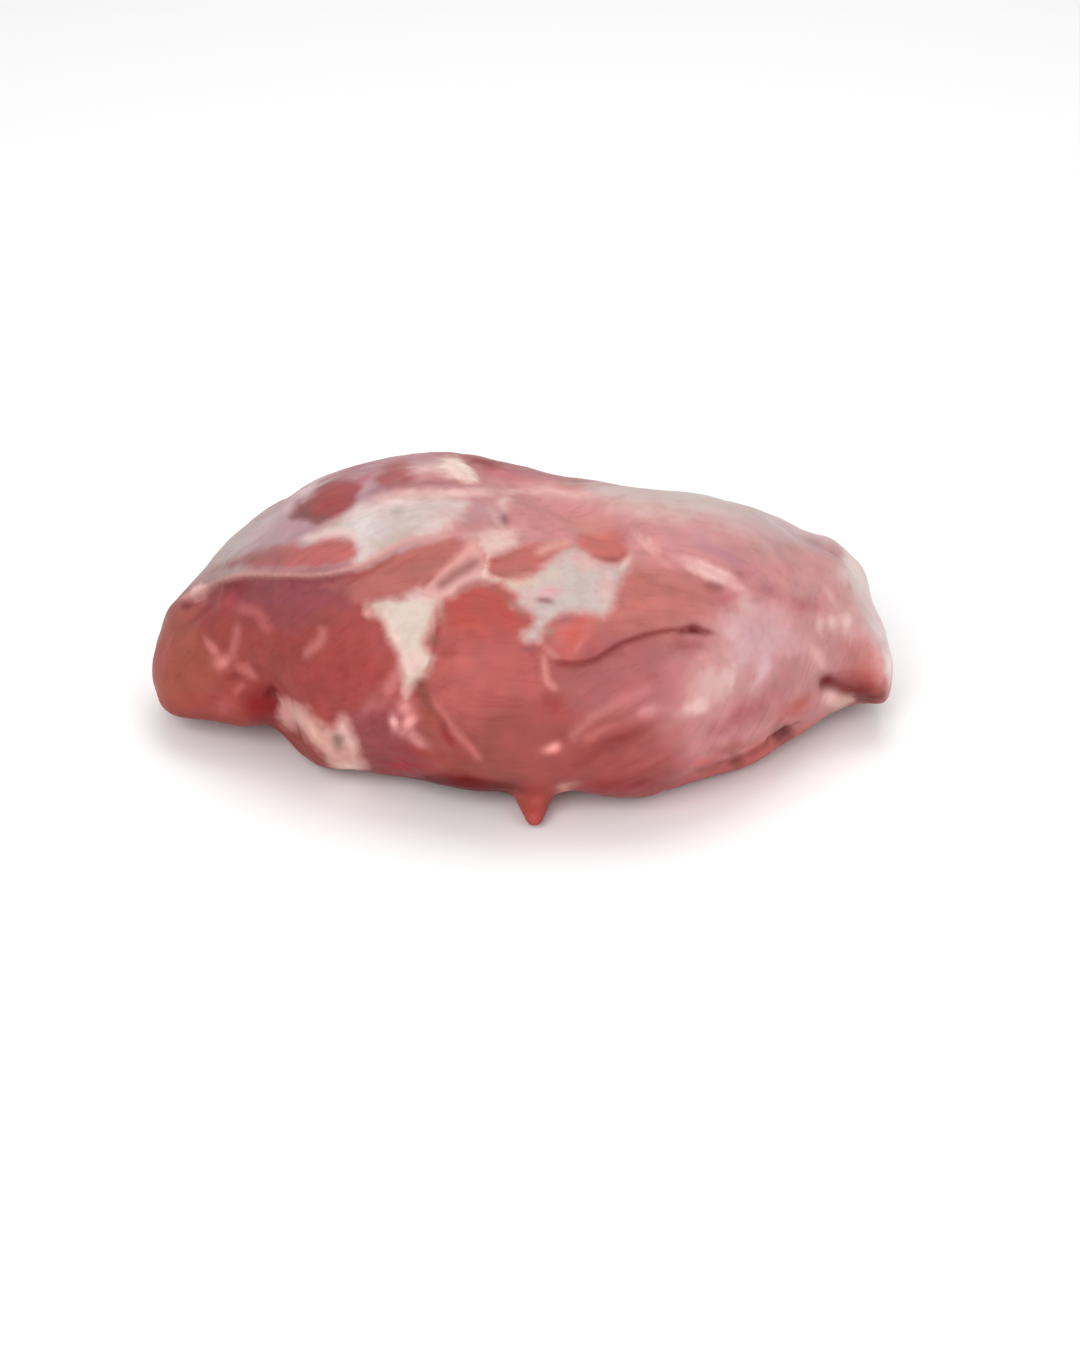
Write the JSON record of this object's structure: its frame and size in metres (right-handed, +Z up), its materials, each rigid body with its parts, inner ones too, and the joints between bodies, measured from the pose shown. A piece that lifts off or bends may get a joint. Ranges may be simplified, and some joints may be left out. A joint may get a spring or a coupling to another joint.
{
  "type": "veal shoulder",
  "caption": "Boneless raw veal shoulder lying on its flat side: pink-red muscles with seams, white silverskin, fat, a short gash and a small hanging tag.",
  "frame": {"origin": "on the table, under the middle of the meat's bounding box", "axes": "+X along the length, from the plump left end to the hooked right end of the show side; -Y towards the show side; +Z up from the table"},
  "size_m": [0.3304, 0.1978, 0.1129],
  "materials": {
    "meat": "moist raw veal, pink-red muscle with white silverskin and cream fat"
  },
  "bodies": {
    "root": {"veal_shoulder": "meat"}
  },
  "joints": []
}
